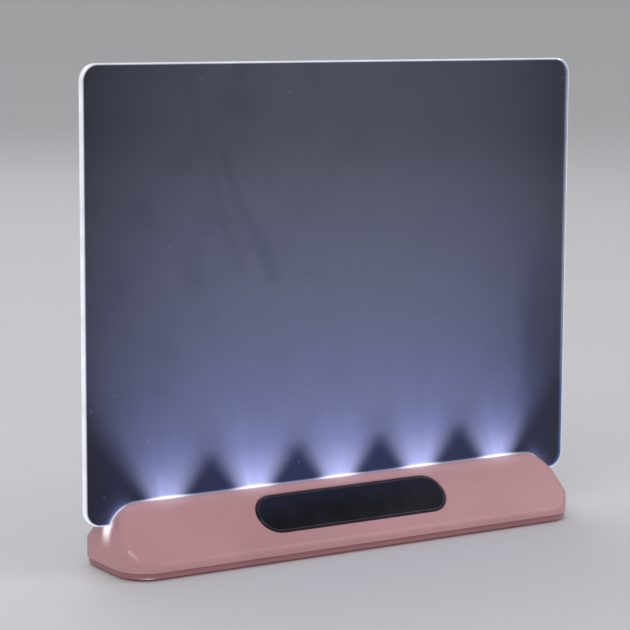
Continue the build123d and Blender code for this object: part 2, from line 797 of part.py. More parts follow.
board_back = switch_board_face + board_thickness
with BuildPart() as switch_board:
    with BuildSketch(button_plane.offset(-board_back)):
        RectangleRounded(switch_board_length, switch_board_width, led_board_corner)
        with Locations(*switch_screw_places):
            Circle(light_screw_radius + 2 * screw_clearance, mode=Mode.SUBTRACT)
    extrude(amount=board_thickness)
switch_board.part.label = "switch_board"
export_step(switch_board.part, "parts/switch_board.step")

back_plane = button_plane.offset(-board_back)
with BuildPart() as switch_screws:
    for x, y in switch_screw_places:
        seat = back_plane.shift_origin(back_plane.from_local_coords((x, y, 0)))
        add(pan_screw(seat, light_screw_radius, light_head_radius, light_head_height, light_screw_length))
switch_screws.part.label = "switch_screws"
export_step(switch_screws.part, "parts/switch_screws.step")

with BuildPart() as mode_chip:
    with BuildSketch(button_plane.offset(-board_back - chip_height)):
        Rectangle(chip_length, chip_width)
    extrude(amount=chip_height)
    chamfer(mode_chip.faces().sort_by(button_axis)[0].edges(), chip_edge_break)
    with BuildSketch(button_plane.offset(-board_back - chip_leg_thickness)):
        for side in (-1, 1):
            with Locations((0, side * (chip_width + chip_leg_reach) / 2)):
                with GridLocations(chip_leg_pitch, chip_leg_reach, chip_leg_count, 1):
                    Rectangle(chip_leg_width, chip_leg_reach)
    extrude(amount=chip_leg_thickness)
mode_chip.part.label = "mode_chip"
export_step(mode_chip.part, "parts/mode_chip.step")


# Four leads join the contacts, the switch board and the light board. Each follows a
# route of straight runs and arcs, from one solder point to the other.
pad_shares = (-0.26, -0.16, 0.16, 0.26)
pad_y = -switch_board_width / 4
pads = [back_plane.from_local_coords((switch_board_length * share, pad_y, 0)) for share in pad_shares]
supply_red_pad, supply_black_pad, light_red_pad, light_black_pad = pads
tab_z = contact_top + contact_tab_height / 2
positive_tab = Vector(bay_right, battery_y, tab_z)
negative_tab = Vector(bay_left, battery_y, tab_z)
light_pad_x = led_board_length / 2 - light_pad_end
board_black_pad = Vector(light_pad_x, light_pad_side, led_board_bottom)
board_red_pad = Vector(light_pad_x - light_pad_pitch, -light_pad_side, led_board_bottom)


def stand_off(pad, distance):
    """A point straight out from a solder point on the switch board's inner face."""
    return pad - back_plane.z_dir * distance


def bend_radii(points, end_share=0.85, middle_share=0.45):
    """The widest bend that each corner of a route has room for, up to the leads' easy bend."""
    radii = []
    for number in range(1, len(points) - 1):
        run_in = points[number] - points[number - 1]
        run_out = points[number + 1] - points[number]
        room_in = run_in.length * (end_share if number == 1 else middle_share)
        room_out = run_out.length * (end_share if number == len(points) - 2 else middle_share)
        turn = radians(run_in.get_angle(run_out))
        radii.append(min(wire_bend, min(room_in, room_out) / tan(turn / 2)))
    return radii


routes = {
    "lead_supply_red": [
        positive_tab,
        positive_tab + Vector(6.3, 0, 0),
        supply_red_pad + Vector(-7.2, -3.4, -4.0),
        stand_off(supply_red_pad, 6.2),
        supply_red_pad,
    ],
    "lead_supply_black": [
        negative_tab,
        negative_tab - Vector(wire_turn, 0, 0),
        Vector(bay_left - wire_turn, wire_y, wire_z),
        Vector(supply_black_pad.X - wire_rise_offset, wire_y, wire_z),
        stand_off(supply_black_pad, 6.2),
        supply_black_pad,
    ],
    "lead_light_red": [
        light_red_pad,
        stand_off(light_red_pad, 6.8),
        board_red_pad - Vector(0, 0, lead_drop),
        board_red_pad,
    ],
    "lead_light_black": [
        light_black_pad,
        stand_off(light_black_pad, 4.8),
        board_black_pad - Vector(0, 0, lead_drop),
        board_black_pad,
    ],
}
for lead_name, points in routes.items():
    radii = bend_radii(points)
    with BuildPart() as lead:
        with BuildLine() as route:
            FilletPolyline(*points, radius=radii)
        path = route.wire()
        with BuildSketch(Plane(origin=path @ 0, z_dir=path % 0)):
            RegularPolygon(wire_radius, wire_sides)
        sweep(path=path)
    print(lead_name, "length", round(path.length, 1), "bends", [round(radius, 1) for radius in radii])
    lead.part.label = lead_name
    export_step(lead.part, f"parts/{lead_name}.step")
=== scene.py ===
from math import cos, pi, radians, sin

import bmesh
import bpy
from mathutils import Matrix, Vector


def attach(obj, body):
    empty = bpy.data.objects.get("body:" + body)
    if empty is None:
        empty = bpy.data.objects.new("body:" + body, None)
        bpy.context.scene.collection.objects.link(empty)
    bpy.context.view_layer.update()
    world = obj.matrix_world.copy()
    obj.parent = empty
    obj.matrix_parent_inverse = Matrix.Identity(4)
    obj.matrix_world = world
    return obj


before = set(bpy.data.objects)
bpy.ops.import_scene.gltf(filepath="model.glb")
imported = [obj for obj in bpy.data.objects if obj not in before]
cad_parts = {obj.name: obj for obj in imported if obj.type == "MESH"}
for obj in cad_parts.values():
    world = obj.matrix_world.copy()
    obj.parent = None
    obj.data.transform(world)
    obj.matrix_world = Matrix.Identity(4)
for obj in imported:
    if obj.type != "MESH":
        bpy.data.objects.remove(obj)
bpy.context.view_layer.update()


# Upper housing: one injection moulding in dusty rose plastic with a fine moulded grain, and
# the slot for the panel along its ridge. The lamps' light on the slot's lips and at its open
# ends is painted into the material as a glow.
MM = 0.001


def tone(red, green, blue):
    """A colour given on a screen's scale of 255, as the shader's linear values."""
    parts = [part / 255 for part in (red, green, blue)]
    return tuple(p / 12.92 if p <= 0.04045 else ((p + 0.055) / 1.055) ** 2.4 for p in parts) + (1.0,)


def new_finish(name, **plain):
    """A material with its Principled shader, whose plain values are set on its own sockets."""
    material = bpy.data.materials.new(name)
    material.use_nodes = True
    shader = material.node_tree.nodes["Principled BSDF"]
    for socket, value in plain.items():
        shader.inputs[socket.replace("_", " ")].default_value = value
    return material, material.node_tree, shader.inputs


def feed(tree, given, socket):
    """Gives a socket a link or a plain value."""
    if isinstance(given, bpy.types.NodeSocket):
        tree.links.new(given, socket)
    else:
        socket.default_value = given


def calc(tree, operation, *given, clamp=False):
    """One step of arithmetic on links or numbers."""
    step = tree.nodes.new("ShaderNodeMath")
    step.operation = operation
    step.use_clamp = clamp
    for value, socket in zip(given, step.inputs):
        feed(tree, value, socket)
    return step.outputs[0]


def times(tree, first, *others):
    """The product of several links or numbers."""
    for other in others:
        first = calc(tree, "MULTIPLY", first, other)
    return first


def ease(tree, value, start, end):
    """Rises smoothly from 0 at start to 1 at end. Start may be the larger."""
    step = tree.nodes.new("ShaderNodeMapRange")
    step.interpolation_type = "SMOOTHSTEP"
    low, high = min(start, end), max(start, end)
    for socket, given in zip(("Value", "From Min", "From Max"), (value, low, high)):
        feed(tree, given, step.inputs[socket])
    step.inputs["To Min"].default_value = 0.0 if start < end else 1.0
    step.inputs["To Max"].default_value = 1.0 if start < end else 0.0
    return step.outputs["Result"]


def between(tree, share, first, second):
    """A colour between two, by a share from 0 to 1."""
    mix = tree.nodes.new("ShaderNodeMix")
    mix.data_type = "RGBA"
    for given, socket in zip((share, first, second), (mix.inputs[0], mix.inputs[6], mix.inputs[7])):
        feed(tree, given, socket)
    return mix.outputs[2]


def cloud(tree, place, scale, detail):
    """Soft noise from 0 to 1, scale being how many of its patches fit in a metre."""
    texture = tree.nodes.new("ShaderNodeTexNoise")
    feed(tree, place, texture.inputs["Vector"])
    feed(tree, scale, texture.inputs["Scale"])
    texture.inputs["Detail"].default_value = detail
    return texture.outputs["Fac"]


def grains(tree, place, scale):
    """Scattered points: how far the nearest is, and a chance colour for each."""
    texture = tree.nodes.new("ShaderNodeTexVoronoi")
    feed(tree, place, texture.inputs["Vector"])
    texture.inputs["Scale"].default_value = scale
    return texture.outputs


def turned(tree, place, location=(0, 0, 0), rotation=(0, 0, 0), scale=(1, 1, 1)):
    """Places on a piece, measured from its own middle and along its own axes."""
    mapping = tree.nodes.new("ShaderNodeMapping")
    mapping.vector_type = "TEXTURE"
    feed(tree, place, mapping.inputs["Vector"])
    for socket, value in zip(("Location", "Rotation", "Scale"), (location, rotation, scale)):
        mapping.inputs[socket].default_value = value
    return mapping.outputs["Vector"]


def parts_of(tree, place):
    """The three parts of a place, a direction or a colour."""
    split = tree.nodes.new("ShaderNodeSeparateXYZ")
    feed(tree, place, split.inputs[0])
    return split.outputs


def place_of(tree):
    """Places on a piece, in its own frame."""
    return tree.nodes.new("ShaderNodeTexCoord").outputs["Object"]


def relief(tree, height, depth, strength, sockets, socket="Normal"):
    """Feeds a height pattern to the shader as a bump of that depth."""
    bump = tree.nodes.new("ShaderNodeBump")
    bump.inputs["Strength"].default_value = strength
    bump.inputs["Distance"].default_value = depth
    feed(tree, height, bump.inputs["Height"])
    feed(tree, bump.outputs["Normal"], sockets[socket])


def new_effect(name, inputs, outputs):
    """An effect that several finishes share: an empty node group with named ends."""
    group = bpy.data.node_groups.new(name, "ShaderNodeTree")
    for label, kind in inputs:
        group.interface.new_socket(label, in_out="INPUT", socket_type=f"NodeSocket{kind}")
    for label in outputs:
        group.interface.new_socket(label, in_out="OUTPUT", socket_type="NodeSocketFloat")
    given = group.nodes.new("NodeGroupInput").outputs
    result = group.nodes.new("NodeGroupOutput").inputs
    return group, given, result


def effect(tree, group, **given):
    """Places an effect in a finish, with its own values."""
    step = tree.nodes.new("ShaderNodeGroup")
    step.node_tree = group
    for label, value in given.items():
        feed(tree, value, step.inputs[label])
    return step.outputs


def dress(material, *nodes):
    """Gives CAD nodes their finish."""
    for node in nodes:
        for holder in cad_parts[node].material_slots:
            holder.material = material


moulded_skin, given, result = new_effect(
    "moulded skin", [("Place", "Vector"), ("Grain", "Float")], ["Height", "Mottle", "Scuff", "Dust"]
)
tree = moulded_skin
feed(tree, cloud(tree, given["Place"], scale=given["Grain"], detail=3), result["Height"])
patches = cloud(tree, given["Place"], scale=30, detail=1.5)
feed(tree, ease(tree, patches, start=0.25, end=0.75), result["Mottle"])
rubbed = turned(tree, given["Place"], rotation=(0.3, 0.5, 0.25), scale=(0.09, 0.005, 0.006))
feed(tree, ease(tree, cloud(tree, rubbed, scale=6, detail=3), start=0.66, end=0.74), result["Scuff"])
specks = grains(tree, given["Place"], scale=420)
feed(tree, ease(tree, specks["Distance"], start=0.11, end=0.05), result["Dust"])

# Painted glow for the light of the five lamps under the slot: on its lips, on the ridge beside
# them, at the ridge's two bends and below the slot's open ends
LAMP_PITCH = 39.1 * MM
LAMP_COUNT = 5
LAMP_PLACES = [(number - (LAMP_COUNT - 1) / 2) * LAMP_PITCH for number in range(LAMP_COUNT)]
SLOT_HALF = 1.65 * MM
SLOT_FLOOR = 17.6 * MM
SLOT_END = 102.8 * MM
RIDGE_TURN = 91.4 * MM
LIP_WIDTH = 0.45 * MM
GLOW_EDGE = 7.0 * MM
GLOW_RISE = 0.6 * MM
GLOW_REACH = 13 * MM
GLOW_GAIN, GLOW_LEAST, GLOW_BESIDE = 0.72, 0.20, 0.20
BEND_LENGTH = 6 * MM
BEND_GLOW = 0.45
SPILL_DROP = 10 * MM
SPILL_EDGE, SPILL_CORE = 5.8 * MM, 0.8 * MM
SPILL_START, SPILL_FULL = SLOT_END - 1.6 * MM, SLOT_END - 0.4 * MM
UNLIT = (0, 0, 0, 1)
SLOT_LIGHT = (0.80, 0.82, 1.0, 1)
SPILL_LIGHT = (0.92, 0.88, 0.90, 1)


def lamp_glow(tree, x, reach):
    """How near a place along the base is to one of the lamps, from 0 to 1."""
    apart = calc(tree, "ABSOLUTE", calc(tree, "WRAP", x, LAMP_PITCH / 2, -LAMP_PITCH / 2))
    return ease(tree, apart, reach, 0.0)


def paint_slot_light(tree, place, sockets):
    """Paints the lamps' light around the slot into the shader, as an emitted glow."""
    x, y, z = parts_of(tree, place)
    along = calc(tree, "ABSOLUTE", x)
    across = calc(tree, "ABSOLUTE", y)
    above = ease(tree, z, SLOT_FLOOR, SLOT_FLOOR + GLOW_RISE)
    lip = times(tree, ease(tree, across, SLOT_HALF + LIP_WIDTH, SLOT_HALF), above)
    beside = times(tree, ease(tree, across, GLOW_EDGE, SLOT_HALF), above)
    peak = calc(tree, "MULTIPLY_ADD", lamp_glow(tree, x, GLOW_REACH), GLOW_GAIN, GLOW_LEAST)
    bend = ease(tree, along, RIDGE_TURN, RIDGE_TURN + BEND_LENGTH)
    peak = calc(tree, "MAXIMUM", peak, times(tree, bend, BEND_GLOW))
    strong = times(tree, lip, peak)
    weak = times(tree, beside, peak, GLOW_BESIDE)
    below = ease(tree, z, SLOT_FLOOR - SPILL_DROP, SLOT_FLOOR)
    below = times(tree, below, ease(tree, along, SPILL_START, SPILL_FULL))
    spill = times(tree, ease(tree, across, SPILL_EDGE, SPILL_CORE), below)
    spill = calc(tree, "MULTIPLY", spill, spill, clamp=True)
    light = between(tree, calc(tree, "ADD", strong, weak, clamp=True), UNLIT, SLOT_LIGHT)
    feed(tree, between(tree, spill, light, SPILL_LIGHT), sockets["Emission Color"])
    sockets["Emission Strength"].default_value = 1.0


# The plastic's own colour, mottled a little, under a film of dust and a few dull scuffs
SHELL_ROSE = (182, 136, 141)
MOTTLE_SHARES = (1.02, 0.97)
DUST_PALE, DUST_SHARE = tone(214, 203, 203), 0.15
SCUFF_PALE, SCUFF_SHARE = tone(206, 176, 178), 0.07
SMOOTHEST, MOTTLE_ROUGHNESS, SCUFF_ROUGHNESS = 0.20, 0.05, 0.12


def rose_plastic(name, colour, lit=False):
    """The rose moulding plastic. The lit one has the lamps' light at the slot painted on as a glow."""
    material, tree, sockets = new_finish(name, IOR=1.5, Metallic=0.0)
    place = place_of(tree)
    skin = effect(tree, moulded_skin, Place=place, Grain=2600.0)
    light, dark = [tone(*[part * share for part in colour]) for share in MOTTLE_SHARES]
    body = between(tree, skin["Mottle"], dark, light)
    body = between(tree, times(tree, skin["Dust"], DUST_SHARE), body, DUST_PALE)
    body = between(tree, times(tree, skin["Scuff"], SCUFF_SHARE), body, SCUFF_PALE)
    feed(tree, body, sockets["Base Color"])
    rough = calc(tree, "MULTIPLY_ADD", skin["Mottle"], MOTTLE_ROUGHNESS, SMOOTHEST)
    feed(tree, calc(tree, "MULTIPLY_ADD", skin["Scuff"], SCUFF_ROUGHNESS, rough), sockets["Roughness"])
    relief(tree, skin["Height"], depth=0.06 * MM, strength=0.35, sockets=sockets)
    if lit:
        paint_slot_light(tree, place, sockets)
    return material


dress(rose_plastic("rose plastic, upper housing", SHELL_ROSE, lit=True), "base_shell")


# Badge: a thin plate glued in its recess on the front slope. It is high-gloss black plastic
# with a little blue in its depth, left bare, and a fine bead runs round its edge. A blue
# reflection is painted in towards its top, and its pale specks are painted glints.
BADGE_HALF_LENGTH = 44.0 * MM
BADGE_HALF_HEIGHT = 8.53 * MM
BADGE_MIDDLE = Vector((0.0, -11.79, 17.2)) * MM
BADGE_TOP_DROP = 0.2 * MM
BEAD_INSET = 0.55 * MM
BEAD_WIDTH = 0.5 * MM
BEAD_HEIGHT = 0.16 * MM
BEAD_ROUNDING = 0.7 * BEAD_HEIGHT
BEAD_SINK = 0.01 * MM
SHARP_TURN = 1.0
BASE_SLOPE = radians(45)
SLOPE_FORWARD = Vector((0, -sin(BASE_SLOPE), cos(BASE_SLOPE)))
PLATE_BLACKS = (tone(10, 9, 14), tone(20, 19, 34))
PLATE_REFLECTED_BLUE, REFLECTION_SHARE = tone(30, 33, 60), 0.5
REFLECTION_FROM, REFLECTION_TO = BADGE_MIDDLE.z - 3 * MM, BADGE_MIDDLE.z + 6 * MM
GLINT_PALE, GLINT_SHARE = tone(92, 98, 128), 0.35
BEAD_BLACKS = (tone(20, 20, 27), tone(46, 46, 56))


def roughen(tree, share, smoothest, roughest, sockets):
    """Feeds the shader a roughness between two values, by a share from 0 to 1."""
    feed(tree, calc(tree, "MULTIPLY_ADD", share, roughest - smoothest, smoothest), sockets["Roughness"])


def settle(shape, name, material, body, keep_sharp=40):
    """Makes a finished shape a piece of the board, on one of its bodies."""
    mesh = bpy.data.meshes.new(name)
    bmesh.ops.recalc_face_normals(shape, faces=shape.faces)
    shape.to_mesh(mesh)
    shape.free()
    mesh.materials.append(material)
    mesh.shade_smooth()
    mesh.set_sharp_from_angle(angle=radians(keep_sharp))
    piece = bpy.data.objects.new(name, mesh)
    bpy.context.scene.collection.objects.link(piece)
    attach(piece, body)


def long_oval(half_length, half_height, steps=64):
    """A flat face with straight long sides and round ends."""
    shape = bmesh.new()
    round_part = bmesh.ops.create_circle(
        shape, cap_ends=True, segments=steps, radius=half_height, matrix=Matrix.Rotation(pi / steps, 4, "Z")
    )
    for side in (-1, 1):
        half = [v for v in round_part["verts"] if v.co.x * side > 0]
        bmesh.ops.translate(shape, verts=half, vec=(side * (half_length - half_height), 0, 0))
    return shape


bead = long_oval(BADGE_HALF_LENGTH - BEAD_INSET, BADGE_HALF_HEIGHT - BEAD_INSET)
inner = list(bead.faces)
bmesh.ops.inset_region(bead, faces=inner, thickness=BEAD_WIDTH, use_boundary=True, use_even_offset=True)
bmesh.ops.delete(bead, geom=inner, context="FACES_ONLY")
raised = bmesh.ops.extrude_face_region(bead, geom=list(bead.faces))["geom"]
raised = [part for part in raised if isinstance(part, bmesh.types.BMVert)]
bmesh.ops.translate(bead, verts=raised, vec=(0, 0, BEAD_HEIGHT))
top_edges = [
    edge for edge in bead.edges
    if all(v.co.z > BEAD_HEIGHT / 2 for v in edge.verts) and edge.calc_face_angle(0) > SHARP_TURN
]
bmesh.ops.bevel(
    bead, geom=top_edges, offset=BEAD_ROUNDING, affect="EDGES", segments=2, profile=0.5, material=-1
)
bead_foot = BADGE_MIDDLE - SLOPE_FORWARD * (BADGE_TOP_DROP + BEAD_SINK)
bead_seat = Matrix.Translation(bead_foot) @ Matrix.Rotation(BASE_SLOPE, 4, "X")
bmesh.ops.transform(bead, matrix=bead_seat, verts=bead.verts)

gloss_black, tree, sockets = new_finish(
    "gloss black plate", Metallic=0.0, IOR=1.45, Specular_IOR_Level=0.25, Coat_Weight=0.7,
    Coat_Roughness=0.03, Coat_IOR=1.45
)
place = place_of(tree)
depth = ease(tree, cloud(tree, place, scale=55, detail=5), start=0.35, end=0.75)
ground = between(tree, depth, *PLATE_BLACKS)
# Painted reflection: bluer towards the plate's top
upper = ease(tree, parts_of(tree, place)["Z"], REFLECTION_FROM, REFLECTION_TO)
ground = between(tree, times(tree, upper, REFLECTION_SHARE), ground, PLATE_REFLECTED_BLUE)
# Painted glints: scattered pale specks
flakes = grains(tree, place, scale=1500)
glints = times(tree, ease(tree, flakes["Distance"], start=0.16, end=0.06), depth)
ground = between(tree, times(tree, glints, GLINT_SHARE), ground, GLINT_PALE)
feed(tree, ground, sockets["Base Color"])
roughen(tree, depth, smoothest=0.2, roughest=0.3, sockets=sockets)
ripple = cloud(tree, place, scale=160, detail=2)
relief(tree, ripple, depth=0.02 * MM, strength=0.06, sockets=sockets, socket="Coat Normal")
dress(gloss_black, "badge_plate")

bead_black, tree, sockets = new_finish(
    "gloss black bead", Metallic=0.0, IOR=1.5, Coat_Weight=0.6, Coat_Roughness=0.04
)
rub = ease(tree, cloud(tree, place_of(tree), scale=220, detail=4), start=0.35, end=0.7)
feed(tree, between(tree, rub, *BEAD_BLACKS), sockets["Base Color"])
roughen(tree, rub, smoothest=0.16, roughest=0.31, sockets=sockets)
settle(bead, "badge_bead", bead_black, "base", keep_sharp=60)


# Light row: five round-topped lamps of water-clear resin with their legs through a narrow
# laminate board, a small resistor beside each, and two screws that hold the board up.
LAMP_TIP = 18.0 * MM
LAMP_LIT_FROM = 13.7 * MM
LENS_TONES = (tone(206, 210, 226), tone(240, 242, 255))
LENS_LIGHTS = ((0.10, 0.11, 0.16, 1), (0.80, 0.86, 1.0, 1))

lens, tree, sockets = new_finish(
    "lit lamp lens", Metallic=0.0, IOR=1.5, Roughness=0.05, Coat_Weight=0.4, Emission_Strength=3.0
)
place = place_of(tree)
tip = ease(tree, parts_of(tree, place)["Z"], LAMP_LIT_FROM, LAMP_TIP)
feed(tree, between(tree, tip, *LENS_TONES), sockets["Base Color"])
feed(tree, between(tree, tip, *LENS_LIGHTS), sockets["Emission Color"])
streak = cloud(tree, place, scale=900, detail=2)
roughen(tree, streak, smoothest=0.03, roughest=0.09, sockets=sockets)
dress(lens, *[f"led_{number + 1}" for number in range(LAMP_COUNT)])

# The laminate: two copper rails along it, with spokes to the round pads of each lamp's legs
LIGHT_BOARD_MIDDLE = (0, 0, 12.1 * MM)
LEG_SPACING = 2.54 * MM
RAIL_SIDE = 2.1 * MM
RAIL_EDGES = (0.34 * MM, 0.24 * MM)
SPOKE_EDGES = (0.3 * MM, 0.2 * MM)
SPOKE_ENDS = (2.3 * MM, 2.2 * MM)
PAD_EDGES = (0.95 * MM, 0.85 * MM)
CUT_FACING = (0.8, 0.9)
WEAVE_SHARE = 0.3
MASK_GREENS = (tone(18, 66, 42), tone(26, 82, 52))
TRACK_GREEN = tone(44, 118, 74)
PAD_TIN = tone(178, 180, 184)
CUT_LAMINATE = tone(150, 146, 96)


def total(tree, first, *others):
    """The sum of several links."""
    for other in others:
        first = calc(tree, "ADD", first, other)
    return first


def gap(tree, value, other):
    """How far a value is from another."""
    return calc(tree, "ABSOLUTE", calc(tree, "SUBTRACT", value, other))


def reach_of(tree, *parts):
    """How far a place is from the middle, from its parts."""
    return calc(tree, "SQRT", total(tree, *[times(tree, part, part) for part in parts]))


def laminate(name, middle, turn, wrap_at=None):
    """Green solder mask over copper tracks, with tinned pads and bare laminate at the cut edges."""
    material, tree, sockets = new_finish(name, IOR=1.5, Metallic=0.0, Coat_Weight=0.3, Coat_Roughness=0.15)
    place = place_of(tree)
    x, y = parts_of(tree, turned(tree, place, middle, turn))[:2]
    if wrap_at:
        x = calc(tree, "WRAP", x, wrap_at / 2, -wrap_at / 2)
    side = calc(tree, "ABSOLUTE", y)
    rail = ease(tree, gap(tree, side, RAIL_SIDE), *RAIL_EDGES)
    legs = gap(tree, calc(tree, "ABSOLUTE", x), LEG_SPACING / 2)
    spoke = times(tree, ease(tree, legs, *SPOKE_EDGES), ease(tree, side, *SPOKE_ENDS))
    track = calc(tree, "MAXIMUM", rail, spoke)
    pad = ease(tree, reach_of(tree, legs, y), *PAD_EDGES)
    weave = cloud(tree, place, scale=1400, detail=2)
    skin = between(tree, track, between(tree, weave, *MASK_GREENS), TRACK_GREEN)
    skin = between(tree, pad, skin, PAD_TIN)
    normal = parts_of(tree, tree.nodes.new("ShaderNodeNewGeometry").outputs["Normal"])
    facing = [calc(tree, "ABSOLUTE", part) for part in normal[:2]]
    cut = ease(tree, calc(tree, "MAXIMUM", *facing), *CUT_FACING)
    feed(tree, between(tree, cut, skin, CUT_LAMINATE), sockets["Base Color"])
    roughen(tree, weave, smoothest=0.32, roughest=0.47, sockets=sockets)
    height = total(tree, track, times(tree, weave, WEAVE_SHARE))
    relief(tree, height, depth=0.05 * MM, strength=0.4, sockets=sockets)
    return material


dress(laminate("laminate, light board", LIGHT_BOARD_MIDDLE, (0, 0, 0), LAMP_PITCH), "led_board")

# The joints of the lamps' legs, each a skirt and a narrower tip
LIGHT_BOARD_BOTTOM = 11.5 * MM
DOWN = (0, 0, -1)
SKIRT_SHARE, NECK_SHARE, TIP_SHARE = 0.45, 0.5, 0.55
LEG_JOINT_RADIUS, LEG_JOINT_HEIGHT = 0.75 * MM, 0.9 * MM
SOLDER_GREYS = (tone(158, 160, 166), tone(206, 208, 212))

solder, tree, sockets = new_finish("solder", Metallic=1.0, IOR=1.5)
frost = cloud(tree, place_of(tree), scale=2400, detail=3)
feed(tree, between(tree, frost, *SOLDER_GREYS), sockets["Base Color"])
roughen(tree, frost, smoothest=0.22, roughest=0.42, sockets=sockets)
relief(tree, frost, depth=0.04 * MM, strength=0.4, sockets=sockets)


def solder_joint(shape, foot, direction, radius, height):
    """A small concave cone of solder that wets a leg or a lead at its foot."""
    turn = Vector((0, 0, 1)).rotation_difference(Vector(direction)).to_matrix().to_4x4()
    seat = Matrix.Translation(Vector(foot)) @ turn
    skirt_height = height * SKIRT_SHARE
    skirt = bmesh.ops.create_cone(
        shape, cap_ends=True, segments=16, radius1=radius, radius2=radius * NECK_SHARE, depth=skirt_height,
        matrix=seat @ Matrix.Translation((0, 0, skirt_height / 2)),
    )
    neck = {v for v in skirt["verts"] if (seat.inverted() @ v.co).z > skirt_height / 2}
    face = next(f for f in shape.faces if set(f.verts) == neck)
    raised = bmesh.ops.extrude_face_region(shape, geom=[face])["geom"]
    raised = [part for part in raised if isinstance(part, bmesh.types.BMVert)]
    bmesh.ops.translate(shape, verts=raised, vec=turn.to_3x3() @ Vector((0, 0, height - skirt_height)))
    centre = sum((v.co for v in raised), Vector()) / len(raised)
    bmesh.ops.scale(shape, vec=[TIP_SHARE] * 3, space=Matrix.Translation(-centre), verts=raised)
    bmesh.ops.delete(shape, geom=[face], context="FACES_ONLY")


leg_joints = bmesh.new()
for lamp_x in LAMP_PLACES:
    for side in (-1, 1):
        foot = (lamp_x + side * LEG_SPACING / 2, 0, LIGHT_BOARD_BOTTOM)
        solder_joint(leg_joints, foot, DOWN, LEG_JOINT_RADIUS, LEG_JOINT_HEIGHT)
settle(leg_joints, "lamp_solder", solder, "base")

# The resistors, with a tinned cap at each end, and the screws
RESISTOR_OFFSET = 6.5 * MM
RESISTOR_CAPS = (0.95 * MM, 1.05 * MM)
RESISTOR_BLACKS = (tone(22, 22, 24), tone(36, 36, 40))
RESISTOR_TIN = tone(196, 198, 202)
ZINC_GREYS = (tone(150, 152, 160), tone(196, 198, 204))

resistor_body, tree, sockets = new_finish("resistor body", Metallic=0.0, IOR=1.5)
place = place_of(tree)
from_lamp = calc(tree, "WRAP", parts_of(tree, place)["X"], LAMP_PITCH / 2, -LAMP_PITCH / 2)
cap = ease(tree, gap(tree, from_lamp, RESISTOR_OFFSET), *RESISTOR_CAPS)
speckle = cloud(tree, place, scale=3000, detail=2)
black = between(tree, speckle, *RESISTOR_BLACKS)
feed(tree, between(tree, cap, black, RESISTOR_TIN), sockets["Base Color"])
roughen(tree, speckle, smoothest=0.35, roughest=0.55, sockets=sockets)
dress(resistor_body, "led_resistors")


def plated_steel(name, greys, grain=700):
    """Bright plating over steel, with turning marks and a few dull patches."""
    material, tree, sockets = new_finish(name, Metallic=1.0, IOR=1.5)
    place = place_of(tree)
    patches = cloud(tree, place, scale=grain / 3, detail=4)
    feed(tree, between(tree, patches, *greys), sockets["Base Color"])
    roughen(tree, patches, smoothest=0.20, roughest=0.42, sockets=sockets)
    marks = cloud(tree, turned(tree, place, scale=(1, 1, 0.08)), scale=grain * 3, detail=2)
    relief(tree, marks, depth=0.03 * MM, strength=0.25, sockets=sockets)
    return material


zinc = plated_steel("zinc plated steel", ZINC_GREYS)
dress(zinc, "light_screws")


# Power button: a crowned cap, moulded in warm white plastic with a satin face, pushed out
# from inside by the switch behind it.
CAP_MIDDLE = Vector((76.0, 14.62, 14.38)) * MM
BACK_SLOPE_TURN = (-BASE_SLOPE, 0, 0)
CAP_WHITES = (tone(214, 209, 208), tone(226, 222, 220))
THUMBED_WHITE, THUMBED_SHARE = tone(198, 190, 187), 0.35
THUMBED_FROM, THUMBED_FULL = 4.2 * MM, 0.8 * MM

satin_white, tree, sockets = new_finish("satin white plastic", Metallic=0.0, IOR=1.5)
place = place_of(tree)
skin = effect(tree, moulded_skin, Place=place, Grain=4200.0)
own = parts_of(tree, turned(tree, place, tuple(CAP_MIDDLE), BACK_SLOPE_TURN))
thumbed = ease(tree, reach_of(tree, *own[:2]), THUMBED_FROM, THUMBED_FULL)
body = between(tree, skin["Mottle"], *CAP_WHITES)
body = between(tree, times(tree, thumbed, THUMBED_SHARE), body, THUMBED_WHITE)
feed(tree, body, sockets["Base Color"])
roughen(tree, skin["Mottle"], smoothest=0.36, roughest=0.46, sockets=sockets)
relief(tree, skin["Height"], depth=0.05 * MM, strength=0.3, sockets=sockets)
dress(satin_white, "power_button")


# Switch: a small push switch and a control chip on a laminate board, which two screws hold
# behind the button, parallel to the back slope.
SWITCH_BOARD_MIDDLE = Vector((76.0, 8.965, 8.715)) * MM
SWITCH_BOARD_HALF = 0.6 * MM
SLOPE_BACKWARD = Vector((0, sin(BASE_SLOPE), cos(BASE_SLOPE)))
PAD_PLACES = [place_x * MM for place_x in (-6.76, -4.16, 4.16, 6.76)]
PAD_UP_SLOPE = 3.0 * MM
PAD_JOINT_RADIUS, PAD_JOINT_HEIGHT = 1.0 * MM, 1.3 * MM
RESIN_BLACKS = (tone(28, 28, 31), tone(46, 46, 50))

switch_laminate = laminate("laminate, switch board", tuple(SWITCH_BOARD_MIDDLE), BACK_SLOPE_TURN)
dress(switch_laminate, "switch_board")
dress(zinc, "switch_screws")

black_resin, tree, sockets = new_finish("black resin", Metallic=0.0, IOR=1.5)
filler = cloud(tree, place_of(tree), scale=2800, detail=3)
feed(tree, between(tree, filler, *RESIN_BLACKS), sockets["Base Color"])
roughen(tree, filler, smoothest=0.42, roughest=0.62, sockets=sockets)
relief(tree, filler, depth=0.04 * MM, strength=0.3, sockets=sockets)
dress(black_resin, "mode_chip", "switch_plunger", "tact_switch")

pad_joints = bmesh.new()
pad_row = SWITCH_BOARD_MIDDLE - SLOPE_BACKWARD * SWITCH_BOARD_HALF + SLOPE_FORWARD * PAD_UP_SLOPE
for pad_x in PAD_PLACES:
    foot = pad_row + Vector((pad_x, 0, 0))
    solder_joint(pad_joints, foot, -SLOPE_BACKWARD, PAD_JOINT_RADIUS, PAD_JOINT_HEIGHT)
settle(pad_joints, "switch_board_solder", solder, "base")
